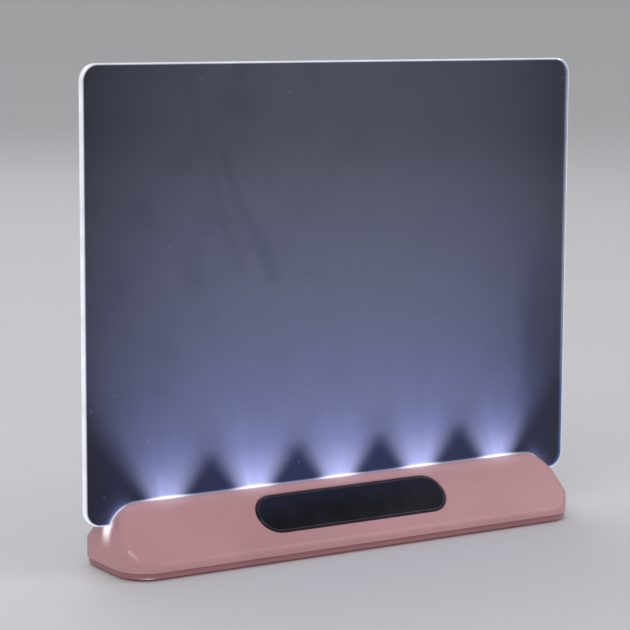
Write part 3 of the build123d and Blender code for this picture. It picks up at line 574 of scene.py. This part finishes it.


# Bottom cover: the flat lower moulding with the battery bay and the wire clips on its inner
# face, in the same plastic as the housing but darker: partly its own tone, partly painted
# shade along the floor.
COVER_ROSE_AND_SHADE = (150, 102, 106)
cover_plastic_and_shade = rose_plastic("rose plastic, lower cover", COVER_ROSE_AND_SHADE)
dress(cover_plastic_and_shade, "bottom_cover")


# Supply: three dry cells end to end between a coil spring and two sprung contact plates of
# nickel-plated steel. The cells' sleeves are plain bands of colour with no print.
CELL_LENGTH = 44.5 * MM
ROW_START = -83.5 * MM
CELL_AXIS_Y, CELL_AXIS_Z = 10.0 * MM, 7.95 * MM
SLEEVE_RADIUS = (4.85 * MM, 4.95 * MM)
SLEEVE_START_SHARES = (0.006, 0.012)
SLEEVE_END_SHARES = (0.964, 0.958)
COPPER_START_SHARES = (0.735, 0.74)
LINE_SHARE = 0.72
LINE_HALF_SHARES = (0.009, 0.006)
SLEEVE_GREY = tone(38, 42, 50)
SLEEVE_COPPER = tone(172, 112, 74)
SLEEVE_LINE = tone(206, 206, 200)
CAN_GREYS = (tone(150, 150, 152), tone(196, 196, 196))
NICKEL_GREYS = (tone(170, 166, 158), tone(212, 208, 200))

sleeve, tree, sockets = new_finish("cell sleeve and can", IOR=1.5, Coat_Weight=0.5, Coat_Roughness=0.12)
place = place_of(tree)
x, y, z = parts_of(tree, place)
cells_along = calc(tree, "DIVIDE", calc(tree, "SUBTRACT", x, ROW_START - 2 * CELL_LENGTH), CELL_LENGTH)
along = calc(tree, "FRACT", cells_along)
radius = reach_of(
    tree, calc(tree, "SUBTRACT", y, CELL_AXIS_Y), calc(tree, "SUBTRACT", z, CELL_AXIS_Z)
)
wrapped = times(
    tree, ease(tree, radius, *SLEEVE_RADIUS), ease(tree, along, *SLEEVE_END_SHARES),
    ease(tree, along, *SLEEVE_START_SHARES)
)
copper_end = ease(tree, along, *COPPER_START_SHARES)
bands = between(tree, copper_end, SLEEVE_GREY, SLEEVE_COPPER)
pale_line = ease(tree, gap(tree, along, LINE_SHARE), *LINE_HALF_SHARES)
bands = between(tree, pale_line, bands, SLEEVE_LINE)
can = between(tree, cloud(tree, place, scale=500, detail=3), *CAN_GREYS)
feed(tree, between(tree, wrapped, can, bands), sockets["Base Color"])
feed(tree, calc(tree, "SUBTRACT", 1.0, wrapped), sockets["Metallic"])
wave = cloud(tree, place, scale=130, detail=2)
roughen(tree, wave, smoothest=0.2, roughest=0.35, sockets=sockets)
relief(tree, wave, depth=0.03 * MM, strength=0.15, sockets=sockets)
dress(sleeve, "battery_1", "battery_2", "battery_3")
nickel = plated_steel("nickel plated steel", NICKEL_GREYS, grain=900)
dress(nickel, "battery_spring", "contact_negative", "contact_positive")


# Leads: four thin stranded wires in soft sleeves, soldered between the contacts, the switch
# board and the light board. Each end named here has its foot, its direction and its size.
TAB_HEIGHT = 12.0 * MM
LEAD_ENDS = [
    ((50.7 * MM, 10 * MM, TAB_HEIGHT), (1, 0, 0), 0.8 * MM, 1.2 * MM),
    ((-87.5 * MM, 10 * MM, TAB_HEIGHT), (-1, 0, 0), 0.8 * MM, 1.2 * MM),
    ((89.5 * MM, 1.3 * MM, LIGHT_BOARD_BOTTOM), DOWN, 0.9 * MM, 1.1 * MM),
    ((87.0 * MM, -1.3 * MM, LIGHT_BOARD_BOTTOM), DOWN, 0.9 * MM, 1.1 * MM),
]
LEAD_REDS = (tone(158, 26, 28), tone(188, 40, 38))
LEAD_BLACKS = (tone(30, 30, 32), tone(48, 48, 50))


def wire_sleeve(name, colours):
    """Soft extruded insulation, slightly dusty and uneven in gloss."""
    material, tree, sockets = new_finish(name, Metallic=0.0, IOR=1.5)
    place = place_of(tree)
    film = cloud(tree, place, scale=260, detail=3)
    feed(tree, between(tree, film, *colours), sockets["Base Color"])
    roughen(tree, film, smoothest=0.35, roughest=0.60, sockets=sockets)
    fine = cloud(tree, place, scale=1800, detail=2)
    relief(tree, fine, depth=0.03 * MM, strength=0.25, sockets=sockets)
    return material


dress(wire_sleeve("red lead", LEAD_REDS), "lead_supply_red", "lead_light_red")
dress(wire_sleeve("black lead", LEAD_BLACKS), "lead_supply_black", "lead_light_black")

lead_joints = bmesh.new()
for foot, direction, joint_radius, joint_height in LEAD_ENDS:
    solder_joint(lead_joints, foot, direction, joint_radius, joint_height)
settle(lead_joints, "lead_solder", solder, "base")


# Case screws and feet: six zinc-plated self-tapping screws join cover and housing, and four
# moulded rubber feet are pressed over the corner ones.
RUBBER_BLACKS = (tone(34, 34, 36), tone(62, 60, 60))

dress(zinc, "case_screws")
rubber, tree, sockets = new_finish("black rubber", Metallic=0.0, IOR=1.5)
place = place_of(tree)
dusty = ease(tree, cloud(tree, place, scale=120, detail=3), start=0.4, end=0.7)
feed(tree, between(tree, dusty, *RUBBER_BLACKS), sockets["Base Color"])
fine = cloud(tree, place, scale=1500, detail=4)
roughen(tree, fine, smoothest=0.65, roughest=0.85, sockets=sockets)
relief(tree, fine, depth=0.08 * MM, strength=0.4, sockets=sockets)
dress(rubber, "foot_front_left", "foot_front_right", "foot_rear_left", "foot_rear_right")


# Battery door: hooked at one end and held at the other by a countersunk screw, moulded in
# the cover's plastic.
dress(cover_plastic_and_shade, "battery_door")
dress(zinc, "battery_door_screw")


# Drawing panel: a 3 mm cut sheet of clear acrylic with polished edges. The lamps shine up
# into its lower edge, and their light is painted on as the sheet's own glow: five fans of
# light fade into a soft haze, and the edges all round and the line at the slot stand out
# almost white. Wiping has left faint smudges.
SHEET_HALF_WIDTH = 112.5 * MM
SHEET_HALF_HEIGHT = 86.5 * MM
SHEET_MIDDLE = 104.7 * MM
SHEET_CORNER = 6.5 * MM
SHEET_TOP = SHEET_MIDDLE + SHEET_HALF_HEIGHT


def dimmed(tree, share, loss):
    """Falls from 1 by a loss, as a share rises from 0 to 1."""
    return calc(tree, "MULTIPLY_ADD", share, -loss, 1.0)


# One lamp's fan: its light by the slant from the lamp's upright, in fine rays that fade with
# height, and how far the haze beside it spreads.
FAN_ORIGIN = 13.5 * MM
LEAST_RISE = 0.5 * MM
FADE_START, FADE_LENGTH = 12.5 * MM, 11 * MM
BEAM_SLANTS = (0.76, 0.10)
SPREAD_SLANTS = (0.92, 0.40)
RAYS_PER_LAMP, RAYS_PER_RISE = 40.0, 6.0
RAY_GAIN, RAY_LEAST = 0.7, 0.65

lamp_fan, given, result = new_effect(
    "lamp fan", [("X", "Float"), ("Z", "Float"), ("Lamp", "Float")], ["Beam", "Spread"]
)
tree = lamp_fan
rise = calc(tree, "MAXIMUM", calc(tree, "SUBTRACT", given["Z"], FAN_ORIGIN), LEAST_RISE)
lean = calc(tree, "DIVIDE", calc(tree, "SUBTRACT", given["X"], given["Lamp"]), rise)
slant = calc(tree, "ABSOLUTE", lean)
fade = calc(tree, "EXPONENT", calc(tree, "DIVIDE", calc(tree, "SUBTRACT", rise, FADE_START), -FADE_LENGTH))
ray_place = tree.nodes.new("ShaderNodeCombineXYZ")
feed(tree, lean, ray_place.inputs[0])
feed(tree, times(tree, given["Lamp"], RAYS_PER_LAMP), ray_place.inputs[1])
feed(tree, times(tree, rise, RAYS_PER_RISE), ray_place.inputs[2])
fine_rays = cloud(tree, ray_place.outputs[0], scale=5.5, detail=3)
fine_rays = calc(tree, "MULTIPLY_ADD", fine_rays, RAY_GAIN, RAY_LEAST)
feed(tree, times(tree, ease(tree, slant, *BEAM_SLANTS), fine_rays, fade), result["Beam"])
feed(tree, ease(tree, slant, *SPREAD_SLANTS), result["Spread"])

# Painted glow along the sheet's polished edges
RIM_WIDTH = 0.9 * MM
RIM_GAIN, RIM_LEAST = 0.5, 0.65

acrylic, tree, sockets = new_finish(
    "clear acrylic, edge lit", Metallic=0.0, IOR=1.49, Transmission_Weight=1.0, Emission_Strength=1.0
)
place = place_of(tree)
x, y, z = parts_of(tree, place)
along = calc(tree, "ABSOLUTE", x)
out_x = calc(tree, "SUBTRACT", along, SHEET_HALF_WIDTH - SHEET_CORNER)
out_z = calc(tree, "SUBTRACT", gap(tree, z, SHEET_MIDDLE), SHEET_HALF_HEIGHT - SHEET_CORNER)
outside = reach_of(tree, *[calc(tree, "MAXIMUM", part, 0.0) for part in (out_x, out_z)])
inside = calc(tree, "MINIMUM", calc(tree, "MAXIMUM", out_x, out_z), 0.0)
from_edge = calc(tree, "SUBTRACT", total(tree, outside, inside), SHEET_CORNER)
uneven = calc(tree, "MULTIPLY_ADD", cloud(tree, place, scale=90, detail=4), RIM_GAIN, RIM_LEAST)
rim_glow = calc(tree, "MULTIPLY", ease(tree, from_edge, -RIM_WIDTH, 0.0), uneven, clamp=True)

# The five fans, and the shade beside the right one
LAMP_STRENGTHS = (0.85, 1.12, 1.0, 1.0, 1.0)
SHADE_X = (84 * MM, 97 * MM)
SHADE_Z = (125 * MM, 70 * MM)
SHADE_LOSS = 0.5

fans = [effect(tree, lamp_fan, X=x, Z=z, Lamp=lamp_x) for lamp_x in LAMP_PLACES]
beam = total(tree, *[times(tree, fan["Beam"], strength) for fan, strength in zip(fans, LAMP_STRENGTHS)])
spread = calc(tree, "MINIMUM", total(tree, *[fan["Spread"] for fan in fans]), 1.0)
right_shade = times(tree, ease(tree, x, *SHADE_X), ease(tree, z, *SHADE_Z))
spread = times(tree, spread, dimmed(tree, right_shade, SHADE_LOSS))

# The line of light where the sheet enters the slot, with a halo at the ridge's bends
RIDGE_TOP = 26.0 * MM
RIDGE_CORNER = 12.0 * MM
LINE_REACH = 14 * MM
LINE_HEIGHT, LINE_SWELL, LINE_SOFTNESS = 0.65 * MM, 0.4 * MM, 0.45 * MM
LINE_GAIN, LINE_LEAST, LINE_AT_BEND = 0.72, 0.28, 0.65
LINE_BELOW = (-1.8 * MM, -0.3 * MM)
HALO_BEND = 8 * MM
HALO_LENGTH, HALO_STRENGTH = 1.8 * MM, 0.20

ridge_x = calc(tree, "MAXIMUM", calc(tree, "SUBTRACT", along, RIDGE_TURN), 0.0)
ridge_z = calc(tree, "MAXIMUM", calc(tree, "SUBTRACT", z, RIDGE_TOP - RIDGE_CORNER), 0.0)
from_ridge = calc(tree, "SUBTRACT", reach_of(tree, ridge_x, ridge_z), RIDGE_CORNER)
lamp_peak = lamp_glow(tree, x, LINE_REACH)
line_top = calc(tree, "MULTIPLY_ADD", lamp_peak, LINE_SWELL, LINE_HEIGHT)
line_top = calc(tree, "SUBTRACT", line_top, from_ridge)
slot_line = calc(tree, "DIVIDE", line_top, LINE_SOFTNESS, clamp=True)
bend = ease(tree, along, RIDGE_TURN, RIDGE_TURN + HALO_BEND)
line_light = calc(tree, "MULTIPLY_ADD", lamp_peak, LINE_GAIN, LINE_LEAST)
line_light = calc(tree, "MAXIMUM", line_light, times(tree, bend, LINE_AT_BEND))
slot_line = times(tree, line_light, ease(tree, from_ridge, *LINE_BELOW), slot_line)
near = calc(tree, "DIVIDE", calc(tree, "MAXIMUM", from_ridge, 0.0), -HALO_LENGTH)
halo = times(tree, bend, HALO_STRENGTH, calc(tree, "EXPONENT", near))

# Two marks of wiping, each with its middle in mm, its lean in degrees and its half length in
# mm, over a faint film, and the sheet's scratches and dust, lit by the lamps as a painted glow
WIPES = (((-55.3, 141.8), -18.4, 36), ((-43.5, 136.2), -25.6, 33))
WIPE_WAVE = 9 * MM
WIPE_EDGE, WIPE_CORE = 4.6 * MM, 0.2 * MM
WIPE_PAST_END, WIPE_BEFORE_END = 10, 12
WIPE_STRENGTH = 0.38
FILM_X, FILM_Z = (20 * MM, -50 * MM), (60 * MM, 110 * MM)
FILM_GAIN, FILM_LEAST = 0.35, 0.2
SCRATCH_LEAN = radians(24)
DUST_GLOW, SCRATCH_GLOW = 0.36, 0.03
MARK_GLOW_IN_BEAM, MARK_GLOW_LEAST = 1.0, 0.35

wavy = calc(tree, "MULTIPLY_ADD", cloud(tree, place, scale=30, detail=2), WIPE_WAVE, -WIPE_WAVE / 2)
wiped = []
for (wipe_x, wipe_z), wipe_lean, half in WIPES:
    own = turned(tree, place, (wipe_x * MM, 0, wipe_z * MM), (0, radians(wipe_lean), 0))
    own = parts_of(tree, own)
    across = calc(tree, "ABSOLUTE", total(tree, own["X"], wavy))
    ends = [(half + WIPE_PAST_END) * MM, (half - WIPE_BEFORE_END) * MM]
    faded = ease(tree, calc(tree, "ABSOLUTE", own["Z"]), *ends)
    wiped.append(times(tree, ease(tree, across, WIPE_EDGE, WIPE_CORE), faded))
film = ease(tree, cloud(tree, place, scale=55, detail=3), start=0.45, end=0.75)
upper_left = times(tree, ease(tree, x, *FILM_X), ease(tree, z, *FILM_Z))
film = times(tree, film, calc(tree, "MULTIPLY_ADD", upper_left, FILM_GAIN, FILM_LEAST))
smudge = calc(tree, "ADD", film, times(tree, total(tree, *wiped), WIPE_STRENGTH), clamp=True)
scratch_place = turned(tree, place, rotation=(0, SCRATCH_LEAN, 0), scale=(0.0011, 0.02, 0.12))
scratches = ease(tree, cloud(tree, scratch_place, scale=2.2, detail=1), start=0.735, end=0.76)
dots = grains(tree, place, scale=210)
some = ease(tree, parts_of(tree, dots["Color"])["X"], start=0.60, end=0.95)
dust = times(tree, ease(tree, dots["Distance"], start=0.11, end=0.05), some)
# Dust and scratches catching the lamps' light, painted into the glow
marks = total(tree, times(tree, dust, DUST_GLOW), times(tree, scratches, SCRATCH_GLOW))
marks = times(tree, marks, calc(tree, "MULTIPLY_ADD", beam, MARK_GLOW_IN_BEAM, MARK_GLOW_LEAST))

# The haze, brighter towards the lamps and dim at the sides, and what glows together
HAZE_FULL = 30 * MM
HAZE_POWER = 1.5
HAZE_GAIN, HAZE_LEAST = 0.118, 0.034
SIDE_POWER = 2.6
SIDE_LOSS, SMUDGE_LOSS = 0.74, 0.35
SPREAD_GAIN, SPREAD_LEAST = 0.9, 0.1
BEAM_STRENGTH = 0.64
UPPER_COOL, LOWER_COOL, LAMP_COOL = (0.66, 0.68, 1.0, 1), (0.40, 0.43, 1.0, 1), (0.53, 0.55, 1.0, 1)
LOWER_COOL_FULL = 50 * MM
LAMP_COOL_Z = (46 * MM, 27 * MM)
EDGE_LIGHT = (0.86, 0.88, 0.95, 1)

to_lamps = calc(tree, "POWER", ease(tree, z, SHEET_TOP, HAZE_FULL), HAZE_POWER)
sideways = calc(tree, "POWER", calc(tree, "DIVIDE", along, SHEET_HALF_WIDTH), SIDE_POWER)
haze = times(
    tree, calc(tree, "MULTIPLY_ADD", to_lamps, HAZE_GAIN, HAZE_LEAST), dimmed(tree, sideways, SIDE_LOSS),
    calc(tree, "MULTIPLY_ADD", spread, SPREAD_GAIN, SPREAD_LEAST), dimmed(tree, smudge, SMUDGE_LOSS)
)
glow = total(tree, haze, marks, halo, times(tree, beam, BEAM_STRENGTH))
cool = between(tree, ease(tree, z, SHEET_TOP, LOWER_COOL_FULL), UPPER_COOL, LOWER_COOL)
cool = between(tree, ease(tree, z, *LAMP_COOL_Z), cool, LAMP_COOL)
scaled = tree.nodes.new("ShaderNodeVectorMath")
scaled.operation = "SCALE"
feed(tree, cool, scaled.inputs[0])
feed(tree, glow, scaled.inputs["Scale"])
bright_edge = calc(tree, "MAXIMUM", rim_glow, slot_line, clamp=True)
lit_colour = between(tree, bright_edge, scaled.outputs["Vector"], EDGE_LIGHT)
feed(tree, lit_colour, sockets["Emission Color"])

# The sheet itself: its tint painted lighter where the haze spreads and painted deep blue where
# it is unlit, darker still at the sides; smoother where it is clean, and a thinner shadow than
# a solid's
LIT_CLEAR_TINT, LIT_SMUDGED_TINT = (0.078, 0.088, 0.118, 1), (0.055, 0.064, 0.090, 1)
UNLIT_DEEP_TINT, UNLIT_SIDE_TINT = (0.004, 0.010, 0.092, 1), (0.001, 0.004, 0.024, 1)
SIDE_SHADE_LOSS = 0.6
SHEET_ROUGHNESS, SMUDGE_ROUGHNESS, SCRATCH_ROUGHNESS = 0.015, 0.06, 0.08
SHADOW_LOSS = 0.55

lit_tint = between(tree, smudge, LIT_CLEAR_TINT, LIT_SMUDGED_TINT)
unlit_tint = between(tree, sideways, UNLIT_DEEP_TINT, UNLIT_SIDE_TINT)
hazy = times(tree, spread, dimmed(tree, sideways, SIDE_SHADE_LOSS))
feed(tree, between(tree, hazy, unlit_tint, lit_tint), sockets["Base Color"])
rough = total(tree, times(tree, smudge, SMUDGE_ROUGHNESS), times(tree, scratches, SCRATCH_ROUGHNESS))
feed(tree, calc(tree, "ADD", rough, SHEET_ROUGHNESS), sockets["Roughness"])
shadow_ray = tree.nodes.new("ShaderNodeLightPath").outputs["Is Shadow Ray"]
feed(tree, dimmed(tree, shadow_ray, SHADOW_LOSS), sockets["Alpha"])
dress(acrylic, "drawing_panel")


# Studio: a wide pale floor, soft light from above and both sides, a lamp below for the
# underside that the floor lets through, and the camera where the photographer stood, low
# and to the left of the board.
FLOOR_RADIUS = 80.0
FLOOR_DROP = 0.02 * MM
FLOOR_TONES = (tone(200, 200, 204), tone(203, 203, 207))
HORIZON, OVERHEAD = (0.34, 0.34, 0.35, 1), (0.10, 0.10, 0.11, 1)
HORIZON_HEIGHTS = (0.05, 0.8)
AIR_STRENGTH = 0.66
LIT_MIDDLE = (0, 0, 80 * MM)
YAW, PITCH, ROLL = radians(32.17), radians(7.98), radians(0.29)
CAMERA_PLACE = (-0.4770, -0.7409, 0.2144)
CAMERA_LENS, CAMERA_SENSOR = 128.31, 36.0
CAMERA_NEAR, CAMERA_FAR = 0.05, 300.0

floor_shape = bmesh.new()
floor_seat = Matrix.Translation((0, 0, -FLOOR_DROP))
bmesh.ops.create_circle(floor_shape, cap_ends=True, segments=96, radius=FLOOR_RADIUS, matrix=floor_seat)
floor_mesh = bpy.data.meshes.new("studio_floor")
floor_shape.to_mesh(floor_mesh)
floor_shape.free()
floor = bpy.data.objects.new("studio_floor", floor_mesh)
bpy.context.scene.collection.objects.link(floor)
paper, tree, sockets = new_finish("pale studio floor", Metallic=0.0, IOR=1.5, Roughness=0.6)
uneven = cloud(tree, place_of(tree), scale=3, detail=3)
feed(tree, between(tree, uneven, *FLOOR_TONES), sockets["Base Color"])
from_below = tree.nodes.new("ShaderNodeNewGeometry").outputs["Backfacing"]
feed(tree, calc(tree, "SUBTRACT", 1.0, from_below), sockets["Alpha"])
floor_mesh.materials.append(paper)

world = bpy.data.worlds.new("studio air")
bpy.context.scene.world = world
world.use_nodes = True
tree = world.node_tree
for old in list(tree.nodes):
    tree.nodes.remove(old)
seen = tree.nodes.new("ShaderNodeBackground")
way = parts_of(tree, tree.nodes.new("ShaderNodeTexCoord").outputs["Generated"])
feed(tree, between(tree, ease(tree, way["Z"], *HORIZON_HEIGHTS), HORIZON, OVERHEAD), seen.inputs["Color"])
lighting = tree.nodes.new("ShaderNodeBackground")
lighting.inputs["Color"].default_value = (1.0, 1.0, 1.0, 1)
lighting.inputs["Strength"].default_value = AIR_STRENGTH
rays = tree.nodes.new("ShaderNodeLightPath").outputs
direct = calc(tree, "MAXIMUM", rays["Is Camera Ray"], rays["Is Transmission Ray"])
direct = calc(tree, "MAXIMUM", direct, rays["Is Glossy Ray"])
choose = tree.nodes.new("ShaderNodeMixShader")
for given, socket in zip((direct, lighting.outputs[0], seen.outputs[0]), choose.inputs):
    feed(tree, given, socket)
feed(tree, choose.outputs[0], tree.nodes.new("ShaderNodeOutputWorld").inputs["Surface"])


def soft_light(name, place, aim, size, watts):
    """A square soft box that points at a place on the object."""
    data = bpy.data.lights.new(name, "AREA")
    data.size = size
    data.energy = watts
    lamp = bpy.data.objects.new(name, data)
    lamp.location = place
    lamp.rotation_euler = (Vector(aim) - Vector(place)).to_track_quat("-Z", "Y").to_euler()
    bpy.context.scene.collection.objects.link(lamp)
    return lamp


soft_light("key_left", place=(-1.3, -1.2, 1.5), aim=LIT_MIDDLE, size=1.2, watts=17)
soft_light("fill_right", place=(1.5, -0.9, 1.1), aim=LIT_MIDDLE, size=1.4, watts=7)
soft_light("back_top", place=(0.3, 1.5, 1.6), aim=LIT_MIDDLE, size=1.4, watts=9)
under_fill = soft_light("under_fill", place=(0, 0, -1.2), aim=(0, 0, 0), size=0.5, watts=6)
let_through = bpy.data.collections.new("let through by the lamp below")
let_through.objects.link(floor)
let_through.collection_objects[0].light_linking.link_state = "EXCLUDE"
under_fill.light_linking.receiver_collection = let_through
under_fill.light_linking.blocker_collection = let_through

forward_level = Vector((sin(YAW), cos(YAW), 0))
right_level = Vector((cos(YAW), -sin(YAW), 0))
upright = Vector((0, 0, 1))
forward = cos(PITCH) * forward_level - sin(PITCH) * upright
tipped = sin(PITCH) * forward_level + cos(PITCH) * upright
camera_x = cos(ROLL) * right_level + sin(ROLL) * tipped
camera_y = cos(ROLL) * tipped - sin(ROLL) * right_level
camera_data = bpy.data.cameras.new("photographer")
camera_data.lens = CAMERA_LENS
camera_data.sensor_width = CAMERA_SENSOR
camera_data.clip_start = CAMERA_NEAR
camera_data.clip_end = CAMERA_FAR
camera = bpy.data.objects.new("photographer", camera_data)
camera_turn = Matrix((camera_x, camera_y, -forward)).transposed().to_4x4()
camera.matrix_world = Matrix.Translation(CAMERA_PLACE) @ camera_turn
bpy.context.scene.collection.objects.link(camera)
bpy.context.scene.camera = camera
bpy.context.scene.view_settings.view_transform = "Standard"
